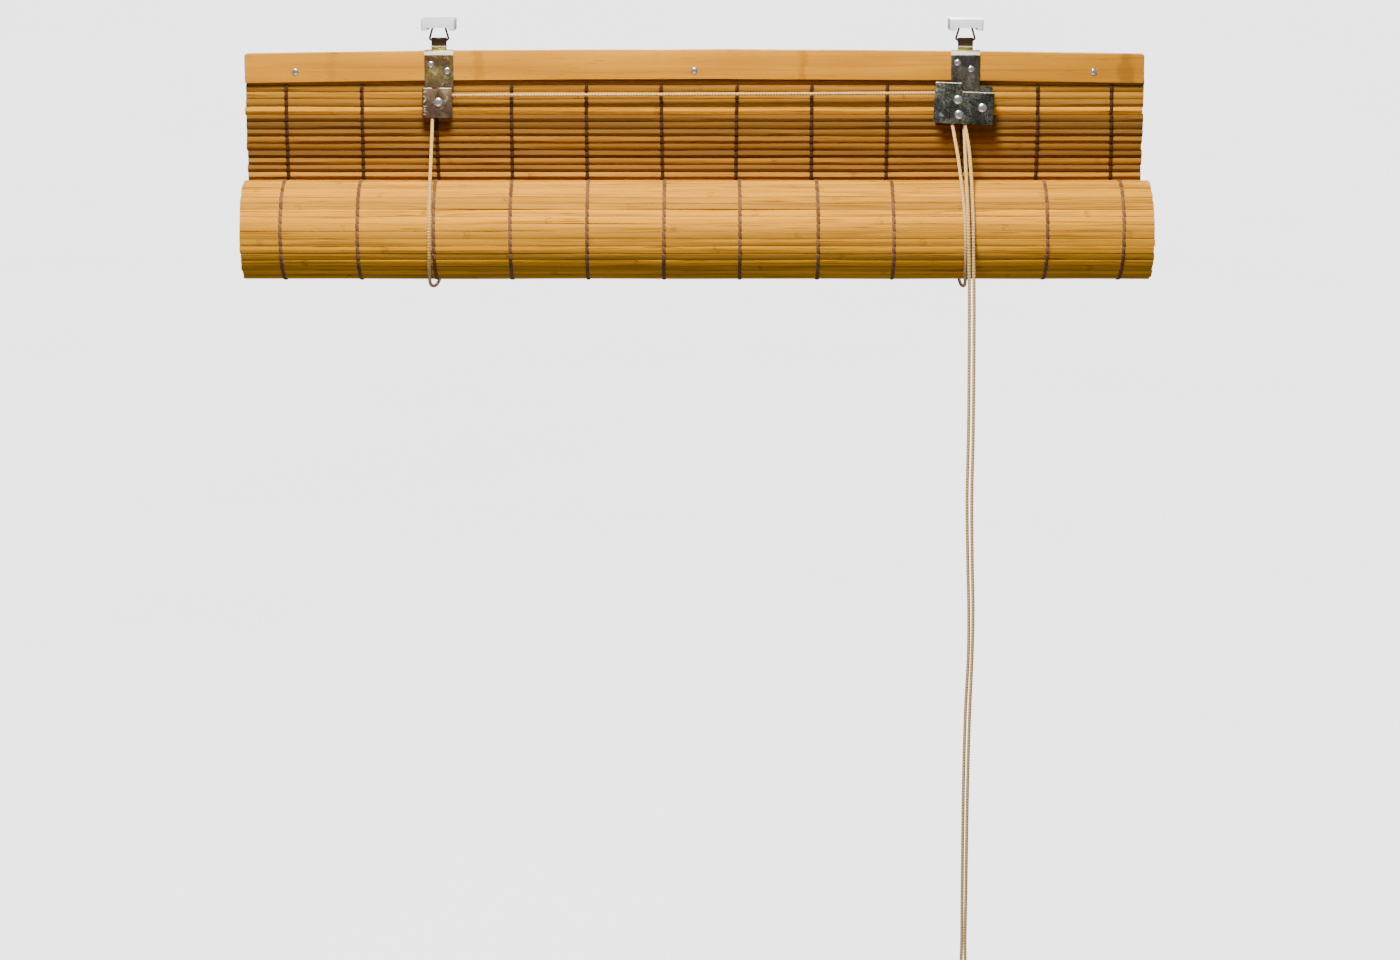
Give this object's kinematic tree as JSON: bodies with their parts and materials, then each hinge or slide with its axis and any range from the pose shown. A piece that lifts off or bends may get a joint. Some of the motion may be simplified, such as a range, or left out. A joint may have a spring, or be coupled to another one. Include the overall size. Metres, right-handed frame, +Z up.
{
  "type": "roll up blind",
  "caption": "Bamboo roll-up blind on hook rings and ceiling caps: riveted head battens, rolled slat mat, lift cords over a pulley and a cord lock, pull cords tied in a hank.",
  "frame": {"origin": "middle of the ceiling screw holes, on the ceiling plane", "axes": "+X to the viewer's right along the blind, +Y away from the viewer towards the window, +Z up"},
  "size_m": [0.8024, 0.1154, 0.98],
  "materials": {
    "cap_plastic": "matt moulded plastic",
    "hook_wire": "dark drawn wire",
    "bracket_plating": "yellow passivated zinc with an iridescent cast",
    "lock_plating": "dull speckled zinc",
    "rivet_steel": "bright domed steel",
    "roller_steel": "turned steel",
    "batten_bamboo": "split bamboo with long grain, clear varnish",
    "slat_bamboo": "thin bamboo slats, varying golden tone",
    "binding_thread": "dark twisted thread",
    "blind_cord": "beige braid",
    "tie_cord": "thin beige cord wound tight"
  },
  "bodies": {
    "caps": {"cap_left": "cap_plastic", "cap_right": "cap_plastic"},
    "ring_left": {"ring_left": "hook_wire"},
    "ring_right": {"ring_right": "hook_wire"},
    "blind": {"bracket_left": "bracket_plating", "bracket_left_rivets": "rivet_steel", "pulley_left_axle": "rivet_steel", "bracket_right": "lock_plating", "bracket_right_rivets": "rivet_steel", "lock_front_plate": "lock_plating", "lock_roller_upper_axle": "rivet_steel", "lock_roller_lower_axle": "rivet_steel", "lock_cam_axle": "rivet_steel", "head_batten_front": "batten_bamboo", "head_batten_back": "batten_bamboo", "head_batten_rivets": "rivet_steel", "cord_staples": "rivet_steel", "mat_hanging": "slat_bamboo", "mat_roll": "slat_bamboo", "threads_hanging": "binding_thread", "threads_roll": "binding_thread", "bottom_batten_outer": "batten_bamboo", "bottom_batten_inner": "batten_bamboo", "lift_cord_left": "blind_cord", "lift_cord_right": "blind_cord", "pull_cord_left": "blind_cord", "pull_cord_right": "blind_cord", "cord_hank": "blind_cord", "hank_tie": "tie_cord", "cord_end_knots": "blind_cord"},
    "pulley": {"pulley_left": "roller_steel"},
    "roller_upper": {"lock_roller_upper": "roller_steel"},
    "roller_lower": {"lock_roller_lower": "roller_steel"},
    "cam": {"lock_cam": "roller_steel"}
  },
  "joints": [
    {"name": "ring_left_swing", "type": "hinge", "parent": "caps", "child": "ring_left", "pos_m": [-0.234, 0, -0.0048], "axis": [1, 0, 0], "range_deg": [-25, 25]},
    {"name": "ring_right_swing", "type": "hinge", "parent": "caps", "child": "ring_right", "pos_m": [0.234, 0, -0.0048], "axis": [1, 0, 0], "range_deg": [-25, 25]},
    {"name": "blind_swing", "type": "hinge", "parent": "ring_left", "child": "blind", "pos_m": [-0.234, 0, -0.0192], "axis": [1, 0, 0], "range_deg": [-20, 20]},
    {"name": "pulley_spin", "type": "hinge", "parent": "blind", "child": "pulley", "pos_m": [-0.2345, -0.0098, -0.0734], "axis": [0, 1, 0], "continuous": true},
    {"name": "roller_upper_spin", "type": "hinge", "parent": "blind", "child": "roller_upper", "pos_m": [0.2269, -0.0112, -0.0709], "axis": [0, 1, 0], "continuous": true},
    {"name": "roller_lower_spin", "type": "hinge", "parent": "blind", "child": "roller_lower", "pos_m": [0.2279, -0.0112, -0.0841], "axis": [0, 1, 0], "continuous": true},
    {"name": "cam_turn", "type": "hinge", "parent": "blind", "child": "cam", "pos_m": [0.2486, -0.0112, -0.0781], "axis": [0, -1, 0], "range_deg": [0, 25]}
  ],
  "couplings": [
    {"joint": "ring_right_swing", "follows": "ring_left_swing", "ratio": 1},
    {"joint": "roller_upper_spin", "follows": "pulley_spin", "ratio": 1},
    {"joint": "roller_lower_spin", "follows": "pulley_spin", "ratio": 1}
  ]
}
